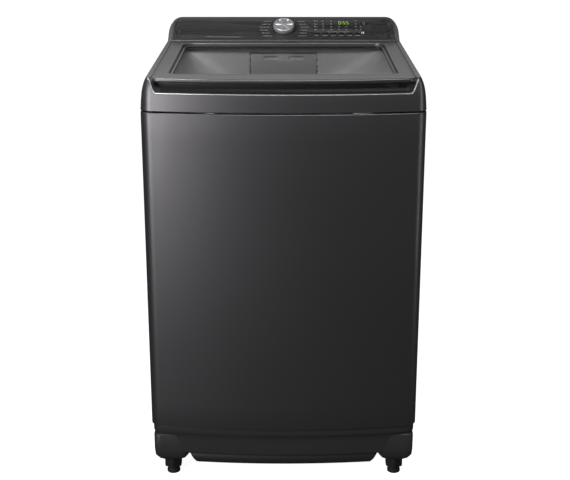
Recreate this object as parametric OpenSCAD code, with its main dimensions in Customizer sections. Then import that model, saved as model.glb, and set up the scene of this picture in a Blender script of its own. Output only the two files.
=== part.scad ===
// Top load washing machine. Origin on the floor, under the middle of the whole machine.
// +X right, +Y to the rear, +Z up. Millimetres.

/* [Body] */
// Width of the cabinet and of the top cover's foot
body_w = 640; // [530:1:780]
// Depth from the middle of the front to the back panel
body_d = 672; // [640:1:760]
// Height of the seam between the cabinet and the top cover
seam_z = 911; // [860:1:1100]
// Height of the cabinet's lower edge
cabinet_z = 144; // [138:1:156]
// Radius of the front's bow, seen from above
bow_r = 1930; // [1600:10:2600]
// Radius of the upright front corners
corner_r = 28; // [20:1:36]
// Thickness of the cabinet's sheet steel
sheet_t = 1.2; // [1:0.1:2]

/* [Top cover] */
// Height of the lid's front edge above the seam
cover_rise = 74; // [68:1:84]
// Slope of the deck and lid, up to the rear
deck_slope = 1.15; // [0:0.05:2]
// Inset of the cover's top edge on each side
cover_inset = 14; // [8:1:18]
// Wall of the moulded top cover
cover_t = 3; // [2.5:0.5:4]
// Width of the rail beside the lid
rail_w = 12; // [10:1:16]

/* [Lid] */
// Length of the lid from its front edge to the hinge barrel's back
lid_len = 556; // [540:1:562]
// Thickness of the lid's border
lid_t = 9; // [8:0.1:11]
// Half width of the window
window_hw = 260; // [230:1:264]
// Width of the lid's border in front of the window
border_front = 76; // [66:1:84]
// Width of the lid's border behind the window
border_rear = 42; // [38:1:52]
// Thickness of the window glass
glass_t = 4; // [3:0.5:5]

/* [Console] */
// Slope of the control panel
panel_slope = 28.9; // [24:0.1:30]
// Length of the control panel up its slope
panel_len = 106; // [98:1:110]
// Radius of the console's top corners
console_r = 32; // [24:1:36]
// Width of each end cap
cap_w = 10; // [8:1:14]
// Diameter of the selector knob
knob_d = 56; // [44:0.2:68]
// Height of the knob above its ring
knob_h = 13; // [10:1:18]
// Width of an option key
key_w = 15; // [11:0.5:17]
// Height of an option key
key_h = 9; // [7:0.5:11]
// Number of option keys
option_keys = 6; // [6:1:6]

/* [Drum] */
// Outer radius of the tub
tub_r = 278; // [230:1:282]
// Wall of the tub
tub_t = 3.5; // [3:0.5:5]
// Underside of the tub
tub_z = 212; // [206:1:222]
// Top of the tub's cover ring
tub_top_z = 878; // [820:1:882]
// Outer radius of the basket
basket_r = 262; // [215:0.1:264]
// Thickness of the basket's sheet steel
basket_t = 1; // [0.8:0.1:1.5]
// Radius of the basket's mouth
mouth_r = 215; // [180:1:220]
// Radius of the pulsator
pulsator_r = 190; // [150:1:200]

/* [Drive] */
// Radius of the driven pulley
pulley_r = 75; // [60:1:80]
// Radius of the motor's pulley
motor_pulley_r = 25; // [20:1:30]
// Distance between the pulleys' axes
belt_c = 180; // [165:1:190]
// Radius of the wash shaft
shaft_r = 8; // [7:0.5:9]
// Distance the tub can sink on its springs
tub_drop = 20; // [12:1:24]
// Distance the tub can rise
tub_lift = 8; // [4:1:10]

/* [Feet and ports] */
// Distance of the feet from the middle, sideways
foot_x = 273; // [230:1:280]
// Distance of the front feet behind the front
foot_inset = 70; // [62:1:80]
// Radius of the foot's pad
foot_r = 16; // [14:0.5:20]
// Distance the water ports stand out of the back
port_len = 18; // [16:1:24]
// Outer radius of the three quarter inch water thread
port_r = 13.2; // [12:0.1:14]
// Outer radius of the drain spigot
drain_r = 15; // [12:0.5:17]

/* [Hidden] */
$fn = 96;

front_y = -(body_d + port_len) / 2;
rear_y = front_y + body_d;
half_w = body_w / 2;
gap = 0.3;
tub_y = front_y + 330;
deck_z = seam_z + cover_rise;
rim_hw = half_w - cover_inset;
lid_front = 8;
lid_rear = lid_front + lid_len;
lid_hw = rim_hw - rail_w;
lid_r = corner_r - 8;
lid_gap = 1.5;
barrel_r = 5;
pin_r = 2.5;
hinge_s = lid_rear - barrel_r;
glass_drop = 7;
collar_drop = glass_drop + glass_t + 3;
collar_w = 6;
window_front = lid_front + border_front;
window_rear = lid_rear - border_rear;
mouth_clear = 2;
mouth_front = window_front - collar_w - mouth_clear;
mouth_rear = window_rear + collar_w + mouth_clear;
mouth_hw = window_hw + collar_w + mouth_clear;
liner_z = tub_top_z + tub_lift + 8;
console_y = lid_rear + 3;
console_z = deck_z + console_y * tan(deck_slope);
base_z = 45;
skirt_z = 70;
rod_x = half_w - 48;
rod_dy = 262;
rod_end_z = 226;
cup_z = 306;
spring_r = 19;
rod_r = 4;
stem_r = 5.9;
basket_z = tub_z + 34;
basket_top_z = tub_top_z - 26;
pulsator_z = basket_z + 36;
pulley_z = 78;
pulley_w = 18;
shell_steel = "#4b494c";
plastic_dark = "#3a383b";

// Points along an arc, counted in whole steps
function arc(cx, cy, r, a0, a1, n) = [for (i = [0:n]) let (a = a0 + (a1 - a0) * i / n)
    [cx + r * cos(a), cy + r * sin(a)]];

// An outline with a bowed front whose middle is at y0, counted anticlockwise
function bowed(hw, y0, y1, big, rc, rr) = let (
    by = y0 + big,
    cx = hw - rc,
    cy = by - sqrt(pow(big - rc, 2) - cx * cx),
    lean = atan(cx / (by - cy)))
    concat(arc(cx, cy, rc, -90 + lean, 0, 8), arc(hw - rr, y1 - rr, rr, 0, 90, 4),
        arc(rr - hw, y1 - rr, rr, 90, 180, 4), arc(-cx, cy, rc, 180, 270 - lean, 8),
        [for (i = [1:23]) let (a = -90 - lean + 2 * lean * i / 24) [big * cos(a), by + big * sin(a)]]);

// The machine's outline from above, set in by a distance all round, and at the back by another
function plan(inset, back = 0) = bowed(half_w - inset, front_y + inset, rear_y - back, bow_r - inset,
    max(corner_r - inset, 4), max(10 - abs(back), 3));

// A rounded rectangle as points, n steps a corner
function rounded(x, y0, y1, r, n) = concat(arc(x - r, y0 + r, r, -90, 0, n), arc(x - r, y1 - r, r, 0, 90, n),
    arc(r - x, y1 - r, r, 90, 180, n), arc(r - x, y0 + r, r, 180, 270, n));

// A closed skin through rings of points, each ring having the same count
module loft(rings) {
    n = len(rings[0]);
    m = len(rings);
    polyhedron([for (ring = rings) each ring],
        concat([[for (i = [0:n - 1]) i]], [[for (i = [n - 1:-1:0]) (m - 1) * n + i]],
            [for (k = [0:m - 2]) for (i = [0:n - 1]) let (a = k * n + i, b = k * n + (i + 1) % n)
                each [[b, a, a + n], [b, a + n, b + n]]]));
}

// The lid's plane: x across, y back from the front's middle, z up from the lid's top face
module on_deck() {
    translate([0, front_y, deck_z]) rotate([deck_slope, 0, 0]) children();
}

// The control panel's plane: x across, y up the slope from its front edge, z out of it
module on_panel() {
    translate([0, front_y + console_y, console_z]) rotate([panel_slope, 0, 0]) children();
}

module side(s) {
    mirror([s < 0 ? 1 : 0, 0, 0]) children();
}

module slab(points, z0, z1) {
    translate([0, 0, z0]) linear_extrude(z1 - z0) polygon(points);
}

module tube(r, wall, z0, z1) {
    translate([0, 0, z0]) linear_extrude(z1 - z0) difference() {
        circle(r);
        circle(r - wall);
    }
}

module box(x0, x1, y0, y1, z0, z1) {
    translate([x0, y0, z0]) cube([x1 - x0, y1 - y0, z1 - z0]);
}

module at_corners(x, y0, y1) {
    for (sx = [-1, 1]) for (y = [y0, y1]) translate([sx * x, y, 0]) children();
}

module at_rods() {
    at_corners(rod_x, tub_y - rod_dy, tub_y + rod_dy) children();
}

// ---- cabinet ----

panel_t = 1;
rear_lap = 3;

flange_w = 20;
screw_r = 1.9;
screw_head_r = 4.5;
screws_a_side = 5;

// The back panel's screws, from the panel's outer face
module at_screws() {
    for (sx = [-1, 1]) for (k = [0:screws_a_side - 1])
        translate([sx * (half_w - flange_w / 2), rear_y - rear_lap + panel_t,
            cabinet_z + 40 + k * (seam_z - cabinet_z - 80) / (screws_a_side - 1)])
            rotate([-90, 0, 0]) children();
}

module cabinet_wrap() {
    color(shell_steel) {
        difference() {
            slab(plan(0), cabinet_z, seam_z);
            slab(plan(sheet_t, -30), cabinet_z - 1, seam_z + 1);
            box(-half_w - 1, half_w + 1, rear_y - rear_lap, rear_y + 40, cabinet_z - 1, seam_z + 1);
        }
        difference() {
            slab(plan(0, rear_lap), cabinet_z, cabinet_z + sheet_t);
            slab(plan(22, rear_lap - 40), cabinet_z - 1, cabinet_z + 20);
        }
        difference() {
            for (s = [-1, 1]) side(s)
                box(half_w - flange_w, half_w, rear_y - rear_lap - sheet_t, rear_y - rear_lap, cabinet_z,
                    seam_z);
            at_screws() cylinder(r = screw_r + 0.1, h = 20, center = true);
        }
    }
}

module rear_panel() {
    color("#8f9194") difference() {
        union() {
            box(-half_w + 1, half_w - 1, rear_y - rear_lap, rear_y - rear_lap + panel_t, cabinet_z, seam_z);
            for (z = [cabinet_z + 120, (cabinet_z + seam_z) / 2, seam_z - 160])
                box(70 - half_w, half_w - 70, rear_y - rear_lap + panel_t,
                    rear_y - rear_lap + panel_t + 1.5, z, z + 60);
        }
        at_screws() cylinder(r = screw_r + 0.1, h = 20, center = true);
        translate([cord_x, rear_y, cord_z]) rotate([90, 0, 0])
            cylinder(r = cord_hole_r, h = 20, center = true);
    }
}

drain_x = -tub_r / 2;
drain_y = tub_y + tub_r * 0.72;
drain_z = 98;
cord_x = half_w - 80;
cord_z = cabinet_z + 56;
cord_hole_r = 11;
block_w = 84;

band_z = cabinet_z - 18;

module at_feet() {
    at_corners(foot_x, front_y + foot_inset, rear_y - foot_inset) children();
}

module base_frame() {
    color(plastic_dark) difference() {
        union() {
            difference() {
                slab(plan(4, 2), band_z, cabinet_z);
                slab(plan(24, 20), band_z - 1, cabinet_z + 1);
            }
            difference() {
                loft([for (k = [0:3]) let (z = skirt_z + (band_z - skirt_z) * k / 3)
                    [for (p = plan(13 - 4 * k / 3, 4)) [p[0], p[1], z]]]);
                slab(plan(17, 8), skirt_z - 1, cabinet_z);
            }
            intersection() {
                slab(plan(14, 5), base_z, band_z);
                at_feet() {
                    translate([0, 0, base_z + 6]) linear_extrude(band_z - base_z - 6)
                        square(block_w, center = true);
                    translate([0, 0, base_z]) linear_extrude(6) square(block_w - 24, center = true);
                }
            }
        }
        translate([0, tub_y, 0]) cylinder(r = tub_r - 6, h = cabinet_z + 1);
        at_feet() cylinder(r = stem_r + 0.1, h = 100);
        translate([drain_x, rear_y, drain_z]) rotate([90, 0, 0])
            cylinder(r = drain_r + 1, h = 60, center = true);
    }
}

// The guard's outline from above, set in from its outer face
module guard_outline(inset) {
    hw = foot_x - block_w / 2 - 1 - inset;
    intersection() {
        polygon(plan(18 + inset));
        translate([-hw, front_y]) square([2 * hw, 560 - inset]);
    }
}

module bottom_guard() {
    color("#2c2b2d") difference() {
        translate([0, 0, base_z]) linear_extrude(35) guard_outline(0);
        translate([0, 0, base_z + 3]) linear_extrude(35) guard_outline(3);
    }
}

module corner_braces() {
    color("#9a9c9f") at_rods() difference() {
        translate([0, 0, seam_z - 22]) linear_extrude(3) square(56, center = true);
        cylinder(r = rod_r + gap, h = seam_z);
    }
}

module suspension_rods() {
    color("#b9bbbe") at_rods() {
        translate([0, 0, rod_end_z]) cylinder(r = rod_r, h = seam_z - 16 - rod_end_z);
        translate([0, 0, seam_z - 19]) cylinder(r = 12, h = 8);
        translate([0, 0, rod_end_z]) cylinder(r = spring_r + 2, h = 4);
    }
}

module cabinet_screws() {
    color("#c9cacc") at_screws() {
        cylinder(r = screw_head_r, h = 1.8);
        translate([0, 0, -6]) cylinder(r = screw_r, h = 6);
    }
}

// ---- top cover and mouth ----

deck_top = -(lid_t + lid_gap);
deck_under = deck_top - cover_t;
scoop_depth = 30;
scoop_z = deck_z - 32;
drawer_w = 173;
drawer_z = deck_z - 81;
drawer_h = 62;
valve_x = -200;
valve_step = 55;
valve_z = seam_z + 38;

// Inset of the cover's side at a share of its height
function flare(t) = cover_inset * (0.35 * t + 0.65 * pow(t, 4));

// Height of the lid's plane above the floor at a place from front to back
function plane_z(y) = deck_z + (y - front_y) * tan(deck_slope);

// One ring of the cover's side, the height shared out up to the lid's plane less a drop
function cover_ring(t, inset, low, drop) = [for (p = plan(flare(t) + inset, inset))
    [p[0], p[1], low + t * (plane_z(p[1]) - drop - low)]];

// A profile in Y and Z, carried from x0 to x1
module across(x0, x1, points) {
    translate([x0, 0, 0]) rotate([90, 0, 90]) linear_extrude(x1 - x0) polygon(points);
}

module top_cover() {
    color(shell_steel) difference() {
        loft([for (k = [0:8]) cover_ring(k / 8, 0, seam_z, 0)]);
        difference() {
            loft([for (k = [0:4]) cover_ring(k / 4, cover_t, seam_z - 1, -deck_under)]);
            box(-half_w, half_w, front_y, front_y + scoop_depth + cover_t, scoop_z - 10, deck_z);
        }
        on_deck() {
            slab(bowed(lid_hw + lid_gap, -40, lid_rear + lid_gap, bow_r, lid_r, 3), deck_top, 20);
            slab(rounded(mouth_hw, mouth_front, mouth_rear, 34, 8), deck_under - 1, 0);
            box(-lid_hw, lid_hw, console_y + 6, body_d - 8, deck_under - 1, 1);
        }
        across(-lid_hw + 6, lid_hw - 6, concat([[front_y - 20, scoop_z], [front_y - 20, deck_z + 5]],
            [for (a = [0:7.5:90]) [front_y + scoop_depth * cos(a),
                deck_z + deck_top + 1 - (deck_z + deck_top - scoop_z) * sin(a)]]));
        for (k = [0:1]) translate([valve_x + k * valve_step, rear_y, valve_z]) rotate([90, 0, 0])
            cylinder(r = port_r + 1, h = 40, center = true);
    }
}

// A ring of the mouth's wall, from the deck (t = 0) to the lower edge (t = 1)
function mouth_ring(t, out) = let (low_hw = mouth_r + 12, low_front = tub_y - front_y - mouth_r - 2)
    [for (p = rounded(mouth_hw + (low_hw - mouth_hw) * t + out,
        front_y + mouth_front + (low_front - mouth_front) * t - out, front_y + mouth_rear + out,
        34 + 140 * t + out, 8))
        [p[0], p[1], plane_z(p[1]) + deck_under + t * (liner_z - plane_z(p[1]) - deck_under)]];

module mouth_liner() {
    color("#4a494b") difference() {
        loft([for (k = [4:-1:0]) mouth_ring(k / 4, cover_t)]);
        loft([for (k = [4:-1:0]) mouth_ring(-0.1 + 0.3 * k, 0)]);
        box(-drawer_w / 2 - 1.5, drawer_w / 2 + 1.5, front_y + mouth_rear - 20, front_y + mouth_rear + 20,
            drawer_z - 2, drawer_z + drawer_h + 2);
    }
}

module dispenser_housing() {
    hw = drawer_w / 2;
    y = front_y + mouth_rear + cover_t;
    color("#d9dadb") difference() {
        box(-hw - 2, hw + 2, y + gap, y + 118, drawer_z - 4, drawer_z + drawer_h + 4);
        box(-hw + 1, hw - 1, y - 1, y + 115, drawer_z - 1, drawer_z + drawer_h + 1);
    }
}

module detergent_drawer() {
    hw = drawer_w / 2;
    y = front_y + mouth_rear;
    color("#c9cacb") difference() {
        union() {
            box(-hw, hw, y - 1, y + cover_t - gap, drawer_z, drawer_z + drawer_h);
            box(-hw + 3, hw - 3, y + 1, y + 112, drawer_z + 1, drawer_z + drawer_h - 6);
        }
        for (s = [0, 1]) box(6 - hw + s * (hw - 4), s * (hw - 2) - 4, y + 5, y + 109, drawer_z + 4,
            drawer_z + drawer_h);
        for (s = [-1, 1]) side(s)
            box(14, 52, y - 2, y + 1.5, drawer_z + drawer_h - 14, drawer_z + drawer_h - 5);
    }
}

// The lock stands behind the scoop and the bowed front, whichever reaches further back
lock_x = lid_hw - 38;
lock_front = max(scoop_depth, cover_inset + lock_x * lock_x / (2 * bow_r)) + cover_t + 2;

module lid_lock() {
    color("#26262a") on_deck()
        box(lock_x - 38, lock_x, lock_front, mouth_front - cover_t - 3, deck_under - 26, deck_under);
}

module lid_hinge_brackets() {
    color("#a0a2a5") on_deck() for (s = [-1, 1]) side(s) difference() {
        union() {
            box(lid_hw - 30, lid_hw - 24, hinge_s - 4, hinge_s + 4, deck_top, -barrel_r);
            translate([lid_hw - 30, hinge_s, -barrel_r]) rotate([0, 90, 0])
                cylinder(r = barrel_r - 0.6, h = 6);
        }
        translate([lid_hw - 40, hinge_s, -barrel_r]) rotate([0, 90, 0]) cylinder(r = pin_r + 0.05, h = 30);
    }
}

// ---- lid ----

module pin_bar(r) {
    for (s = [-1, 1]) side(s) translate([lid_hw - 50, hinge_s, -barrel_r]) rotate([0, 90, 0])
        cylinder(r = r, h = 44);
}

module lid_hinge_pins() {
    color("#c4c6c8") on_deck() pin_bar(pin_r);
}

module lid_frame() {
    color(shell_steel) on_deck() difference() {
        union() {
            slab(bowed(lid_hw, lid_front, hinge_s, bow_r, lid_r, 0.5), -lid_t, 0);
            translate([-lid_hw, hinge_s, -barrel_r]) rotate([0, 90, 0])
                cylinder(r = barrel_r, h = 2 * lid_hw);
        }
        slab(rounded(window_hw, window_front, window_rear, 28, 8), -lid_t - 1, 1);
        slab(rounded(window_hw + 4, window_front - 4, window_rear + 4, 32, 8), -lid_t - 1, -glass_drop);
        pin_bar(pin_r);
        for (s = [-1, 1]) side(s) box(lid_hw - 32, lid_hw - 22, hinge_s - 7, hinge_s + 7, -14, 1);
    }
}

module lid_inner_frame() {
    out = collar_w;
    color("#232225") on_deck() difference() {
        slab(rounded(window_hw + out, window_front - out, window_rear + out, 28 + out, 8), -collar_drop, -lid_t);
        slab(rounded(window_hw - 6, window_front + 6, window_rear - 6, 22, 8), -collar_drop - 1, 0);
        slab(rounded(window_hw + 4, window_front - 4, window_rear + 4, 32, 8), -glass_drop - glass_t, 0);
    }
}

module lid_glass() {
    color("#5a5f66", 0.45) on_deck()
        slab(rounded(window_hw + 3.5, window_front - 3.5, window_rear + 3.5, 31.5, 8), -glass_drop - glass_t,
            -glass_drop);
}

// ---- console ----

top_z = console_z + panel_len * sin(panel_slope);
top_y = front_y + console_y + panel_len * cos(panel_slope);
knob_y = panel_len / 2;
fascia_t = 2.5;
fascia_low = 5.2;
ring_h = 2;
keys_x = 88;
keys_y = 31;
keys_end = 197;
start_x = 215;
power_y = knob_y + 20;
power_w = 16;
power_h = 12;

// The console's outline from the front, set in by a distance
module front_outline(inset) {
    hw = rim_hw - inset;
    r = console_r - inset;
    translate([0, rear_y + 5, 0]) rotate([90, 0, 0]) linear_extrude(160)
        polygon(concat([[hw, deck_z - 5]], arc(hw - r, top_z - inset - r, r, 0, 90, 12),
            arc(r - hw, top_z - inset - r, r, 90, 180, 12), [[-hw, deck_z - 5]]));
}

module console_solid() {
    y0 = front_y + console_y;
    intersection() {
        across(-half_w, half_w, [[y0, console_z], [top_y, top_z], [rear_y - 6, top_z], [rear_y - 1, top_z - 5],
            [rear_y - 1, plane_z(rear_y - 1)]]);
        front_outline(0);
    }
}

module console_housing() {
    hw = rim_hw - cap_w;
    y0 = front_y + console_y;
    color(plastic_dark) difference() {
        intersection() {
            console_solid();
            box(-hw, hw, y0 - 1, rear_y, deck_z - 10, top_z + 10);
        }
        intersection() {
            box(-hw + 3, hw - 3, y0 + 14, rear_y - 4, deck_z, top_z - 3);
            on_panel() box(-half_w, half_w, -50, 200, -90, -6);
            front_outline(8);
        }
        intersection() {
            on_panel() box(-hw + 3 - gap, hw - 3 + gap, fascia_low - gap, panel_len - 3 + gap, -fascia_t, 5);
            front_outline(5 - gap);
        }
        on_panel() box(-hw + 26, hw - 26, 13, panel_len - 22, -12, 0);
    }
}

module end_caps() {
    color("#77757a") for (s = [-1, 1]) side(s) intersection() {
        console_solid();
        box(rim_hw - cap_w, half_w, front_y, rear_y, deck_z - 10, top_z + 10);
    }
}

// Place of an option key along the panel
function key_x(i) = keys_x + i * (keys_end - keys_x) / (option_keys - 1);

module control_fascia() {
    hw = rim_hw - cap_w - 3;
    color("#1b1b1d") difference() {
        intersection() {
            on_panel() box(-hw, hw, fascia_low, panel_len - 3, -fascia_t, 0);
            front_outline(5);
        }
        on_panel() {
            translate([0, knob_y, -10]) cylinder(r = 5, h = 20);
            for (i = [0:option_keys - 1]) translate([key_x(i), keys_y, 0])
                cube([key_w + 2 * gap, key_h + 2 * gap, 20], center = true);
            translate([start_x, power_y, 0]) cube([power_w + 2 * gap, power_h + 2 * gap, 20], center = true);
        }
    }
}

module fascia_trim() {
    hw = rim_hw - cap_w - 3;
    color("#a9a8ab") on_panel() box(-hw, hw, 0.8, 2.6, 0, 0.7);
}

module knob_ring() {
    color("#2a2a2c") on_panel() translate([0, knob_y, 0]) tube(knob_d / 2 + 2.5, knob_d / 2 - 2.5, 0, ring_h);
}

module knob() {
    color("#c8c9cb") on_panel() translate([0, knob_y, 0]) {
        difference() {
            union() {
                translate([0, 0, ring_h + 0.4]) cylinder(r = knob_d / 2, h = knob_h - 2);
                translate([0, 0, ring_h + knob_h - 1.6]) cylinder(r1 = knob_d / 2, r2 = knob_d / 2 - 2, h = 2);
            }
            for (k = [0:5]) rotate([0, 0, 60 * k]) translate([knob_d / 2 + 4, 0, ring_h + knob_h + 0.4])
                rotate([0, 8, 0]) translate([-knob_d / 2, -1.5, -2]) cube([knob_d / 2, 3, 3]);
        }
        translate([0, 0, -14]) cylinder(r = 3, h = 17);
    }
}

module circuit_boards() {
    y0 = front_y + console_y;
    color("#2f6b45") {
        on_panel() difference() {
            union() {
                box(-40, rim_hw - cap_w - 40, 17, panel_len - 26, -18, -16.4);
                translate([0, knob_y, -16.4]) cylinder(r = 9, h = 11);
                for (i = [0:option_keys - 1]) translate([key_x(i) - 3, keys_y - 3, -16.4]) cube([6, 6, 7]);
                translate([start_x - 3, power_y - 3, -16.4]) cube([6, 6, 7]);
            }
            translate([0, knob_y, -14.2]) cylinder(r = 3.05, h = 20);
        }
        box(-240, -70, y0 + 40, rear_y - 12, plane_z(rear_y) + 1, plane_z(rear_y) + 3);
        box(-220, -180, y0 + 62, rear_y - 16, plane_z(rear_y) + 3, plane_z(rear_y) + 22);
    }
}

module option_key(x, y, w, h) {
    color("#232325") on_panel() translate([x, y, 0]) {
        translate([-w / 2, -h / 2, -4.5]) cube([w, h, 4.7]);
        translate([-w / 2 - 1.5, -h / 2 - 1.5, -4.8]) cube([w + 3, h + 3, 1.5]);
        translate([-2, -2, -8.2]) cube([4, 4, 4]);
    }
}

module key_1() { option_key(key_x(0), keys_y, key_w, key_h); }
module key_2() { option_key(key_x(1), keys_y, key_w, key_h); }
module key_3() { option_key(key_x(2), keys_y, key_w, key_h); }
module key_4() { option_key(key_x(3), keys_y, key_w, key_h); }
module key_5() { option_key(key_x(4), keys_y, key_w, key_h); }
module key_6() { option_key(key_x(5), keys_y, key_w, key_h); }
module key_power() { option_key(start_x, power_y, power_w, power_h); }

// ---- water and power ----

module inlet_valves() {
    color("#e3e3e0") for (k = [0:1]) translate([valve_x + k * valve_step, 0, valve_z]) difference() {
        union() {
            translate([0, rear_y - cover_t - gap, 0]) rotate([90, 0, 0]) cylinder(r = port_r + 5, h = 16);
            translate([0, rear_y + port_len, 0]) rotate([90, 0, 0]) cylinder(r = port_r, h = port_len + 16);
            translate([0, rear_y, 0]) rotate([90, 0, 0]) cylinder(r = port_r + 0.8, h = 16);
            translate([0, rear_y - 20, -10]) cylinder(r = 12, h = 32);
        }
        translate([0, rear_y + port_len + 1, 0]) rotate([90, 0, 0]) cylinder(r = 9, h = port_len + 12);
    }
}

module cord_inlet() {
    color("#1c1c1e") translate([cord_x, rear_y - rear_lap, cord_z]) rotate([-90, 0, 0]) difference() {
        union() {
            translate([0, 0, panel_t]) cylinder(r = 15, h = 6);
            translate([0, 0, -8]) cylinder(r = cord_hole_r, h = 12);
        }
        translate([0, 0, -10]) cylinder(r = 4.5, h = 30);
    }
}

module drain_outlet() {
    color("#d8d8d4") difference() {
        union() {
            translate([drain_x, drain_y, drain_z]) cylinder(r = 19, h = bellows_z - drain_z);
            translate([drain_x, drain_y, drain_z]) sphere(r = 19);
            translate([drain_x, rear_y, drain_z]) rotate([90, 0, 0])
                cylinder(r = drain_r + 0.8, h = rear_y - drain_y);
            translate([drain_x, rear_y + port_len, drain_z]) rotate([90, 0, 0])
                cylinder(r = drain_r, h = port_len + 1);
        }
        translate([drain_x, drain_y, bellows_z]) cylinder(r = 20, h = 20);
        translate([drain_x, drain_y, drain_z]) cylinder(r = 12, h = 60);
        translate([drain_x, rear_y + port_len + 1, drain_z]) rotate([90, 0, 0])
            cylinder(r = 11, h = rear_y + port_len - drain_y);
    }
}

// ---- tub ----

bellows_z = 104;
drain_port_z = 160;
valve_r = 24;
hub_r = 48;
seat_r = 35;
spin_r = 17;
motor_x = belt_c * cos(45);
motor_y = tub_y - belt_c * sin(45);
motor_r = 62;

module tub() {
    color("#e6e7e8") difference() {
        union() {
            translate([0, tub_y, tub_z]) cylinder(r = tub_r, h = tub_top_z - 16 - tub_z);
            at_rods() translate([0, 0, cup_z]) cylinder(r = 26, h = 12);
            for (sx = [-1, 1]) for (sy = [-1, 1]) translate([0, tub_y, cup_z + 1])
                rotate([0, 0, atan2(sy * rod_dy, sx * rod_x)])
                    translate([tub_r - 20, -20, 0]) cube([norm([rod_x, rod_dy]) - tub_r + 14, 40, 10]);
        }
        difference() {
            translate([0, tub_y, tub_z + tub_t]) cylinder(r = tub_r - tub_t, h = tub_top_z);
            translate([0, tub_y, tub_z]) cylinder(r = hub_r, h = 22);
        }
        translate([0, tub_y, tub_z - 1]) cylinder(r = seat_r, h = 15);
        translate([0, tub_y, tub_z + 13]) cylinder(r = seat_r - 7, h = 20);
        at_rods() translate([0, 0, cup_z - 1]) cylinder(r = 12, h = 30);
        translate([drain_x, drain_y, tub_z - 1]) cylinder(r = 14, h = 20);
    }
}

module tub_cover() {
    color("#dfe0e1") translate([0, tub_y, 0]) {
        tube(tub_r + 3, tub_r + 3 - mouth_r - 8, tub_top_z - 12, tub_top_z);
        tube(tub_r, tub_r - mouth_r - 8, tub_top_z - 16, tub_top_z - 12);
    }
}

module mounting_plate() {
    t = 4;
    color("#8d8f92") difference() {
        union() {
            translate([0, tub_y, tub_z - t]) cylinder(r = 104, h = t);
            translate([0, tub_y, tub_z - t]) for (a = [45:90:359]) rotate([0, 0, a])
                translate([60, -36, 0]) cube([tub_r - 96, 72, t]);
            translate([motor_x, motor_y, tub_z - t]) cylinder(r = motor_r + 6, h = t);
        }
        translate([0, tub_y, 0]) cylinder(r = seat_r, h = tub_z + 1);
        translate([drain_x, drain_y, 0]) cylinder(r = valve_r + 1, h = tub_z + 1);
    }
}

module gearbox() {
    color("#7c7e80") translate([0, tub_y, 0]) difference() {
        union() {
            translate([0, 0, 132]) cylinder(r = 58, h = tub_z - 4 - 132);
            translate([0, 0, 118]) cylinder(r1 = 34, r2 = 46, h = 14);
        }
        translate([0, 0, 100]) cylinder(r = spin_r + 2, h = 200);
        translate([0, 0, 126]) cylinder(r = seat_r - 4, h = 14);
        translate([0, 0, 168]) cylinder(r = 44, h = 22);
    }
}

module bearings() {
    color("#b4b6b9") translate([0, tub_y, 0]) {
        tube(seat_r, seat_r - spin_r - 0.05, tub_z, tub_z + 14);
        tube(seat_r - 4, seat_r - 4 - spin_r - 0.05, 126, 140);
    }
}

module water_seal() {
    color("#2a2a2c") translate([0, tub_y, 0]) tube(seat_r - 7, seat_r - 7 - spin_r - gap, tub_z + 14, tub_z + 22);
}

module motor() {
    color("#6d6f73") translate([motor_x, motor_y, 0]) difference() {
        union() {
            translate([0, 0, 116]) cylinder(r = motor_r, h = tub_z - 4 - 116);
            translate([0, 0, 108]) cylinder(r = 24, h = 8);
        }
        translate([0, 0, 100]) cylinder(r = 7.05, h = 70);
        for (a = [0:30:359]) rotate([0, 0, a]) translate([motor_r - 4, -4, 130]) cube([10, 8, 50]);
    }
}

module drain_valve() {
    color("#d8d8d4") translate([drain_x, drain_y, 0]) difference() {
        union() {
            translate([0, 0, drain_port_z]) cylinder(r = valve_r, h = tub_z - drain_port_z);
            translate([0, 0, 186]) rotate([0, 90, 0]) cylinder(r = 17, h = 70);
        }
        translate([0, 0, drain_port_z - 1]) cylinder(r = 14, h = 60);
    }
}

module drain_bellows() {
    color("#2c2c2e") translate([drain_x, drain_y, 0]) {
        for (k = [0:6])
            tube(k % 2 == 0 ? 19 : 16, k % 2 == 0 ? 5 : 3, bellows_z + k * 8, bellows_z + k * 8 + 8);
    }
}

module suspension_cups() {
    color("#e0e0dc") at_rods() difference() {
        union() {
            translate([0, 0, cup_z - 10]) cylinder(r = spring_r + 2, h = 10);
            translate([0, 0, cup_z]) cylinder(r = 11.8, h = 10);
        }
        cylinder(r = rod_r + gap, h = 400);
    }
}

module suspension_springs() {
    color("#aeb0b3") at_rods() tube(spring_r, 3.5, rod_end_z + 4, cup_z - 10);
}

module belt_loop(extra) {
    hull() {
        translate([0, tub_y]) circle(pulley_r + extra);
        translate([motor_x, motor_y]) circle(motor_pulley_r + extra);
    }
}

module drive_belt() {
    color("#1d1d1f") translate([0, 0, pulley_z + 4]) linear_extrude(pulley_w - 8) difference() {
        belt_loop(gap + 4);
        belt_loop(gap);
    }
}

// ---- basket ----

module basket() {
    color("#c9cbce") translate([0, tub_y, 0]) {
        tube(basket_r, basket_t, basket_z + 6, basket_top_z - 30);
        tube(basket_r, 6, basket_z + 4, basket_z + 6);
    }
}

module basket_base() {
    color("#e2e3e4") translate([0, tub_y, 0]) difference() {
        union() {
            translate([0, 0, basket_z - 2]) cylinder(r = basket_r, h = 6);
            tube(basket_r - basket_t, 4, basket_z + 6, basket_z + 50);
            tube(basket_r - 6, 6, basket_z + 4, basket_z + 6);
        }
        cylinder(r = spin_r, h = 400);
    }
}

module balance_ring() {
    color("#dfe0e2") translate([0, tub_y, 0]) {
        tube(basket_r, basket_r - mouth_r, basket_top_z - 30, basket_top_z);
        tube(basket_r - basket_t, 8, basket_top_z - 46, basket_top_z - 30);
    }
}

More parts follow.
